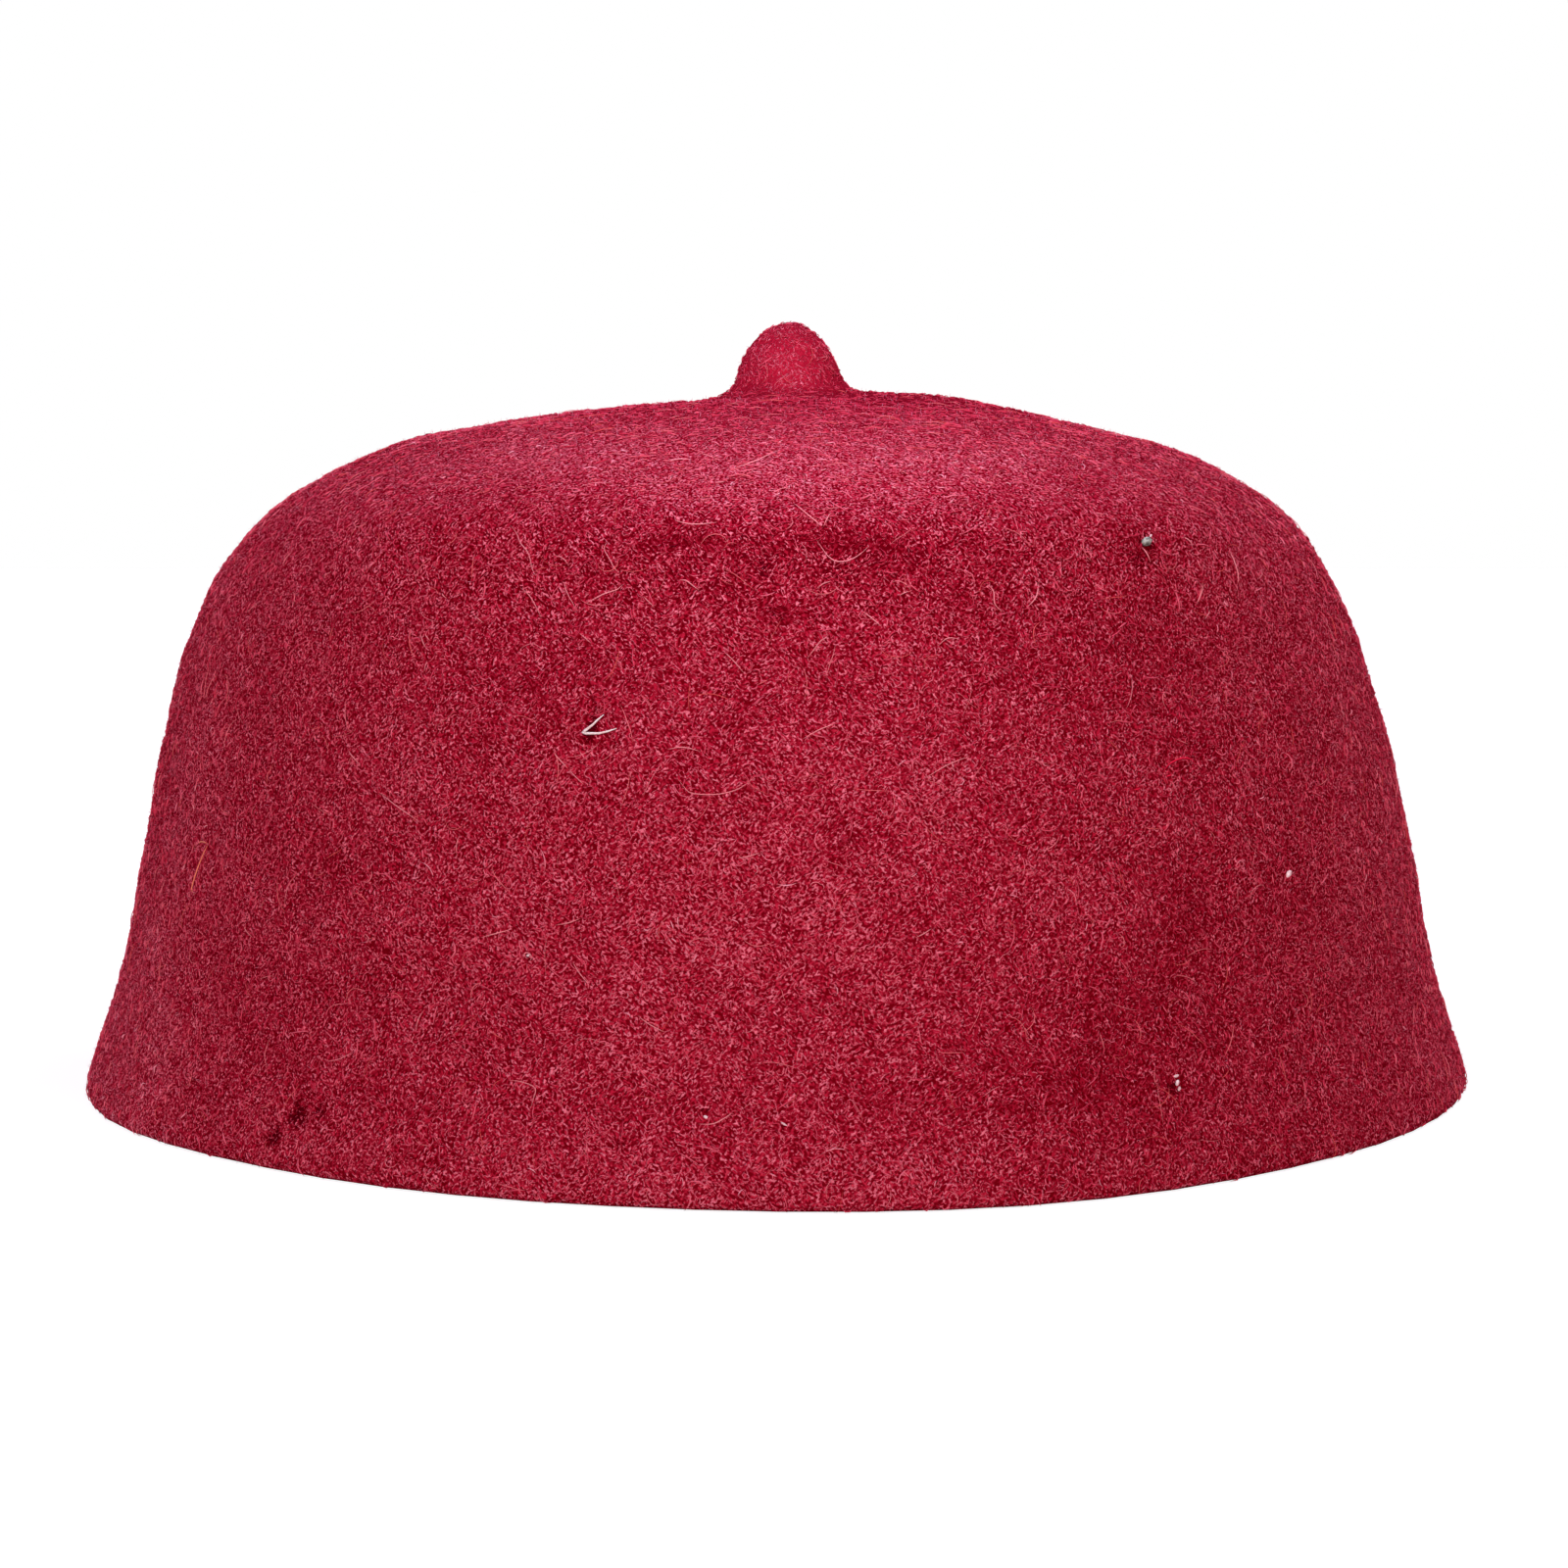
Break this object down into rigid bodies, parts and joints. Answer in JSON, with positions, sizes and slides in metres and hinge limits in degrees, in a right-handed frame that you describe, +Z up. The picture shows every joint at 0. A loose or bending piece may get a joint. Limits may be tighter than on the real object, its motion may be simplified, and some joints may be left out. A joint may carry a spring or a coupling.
{
  "type": "felt kufi cap",
  "caption": "Crimson moulded wool-felt kufi: a flat domed crown with a small solid nub, round shoulder and a wall flaring to a plain rim, hollow and open below for the head.",
  "frame": {"origin": "on the table under the middle of the rim", "axes": "+Z up through the nub; +Y towards the back of the cap, along its longer side; +X to the right as seen from the front"},
  "size_m": [0.196, 0.2048, 0.1068],
  "materials": {
    "felt": "matt felted wool with short loose fibres"
  },
  "bodies": {
    "root": {"felt_cap": "felt"}
  },
  "joints": []
}
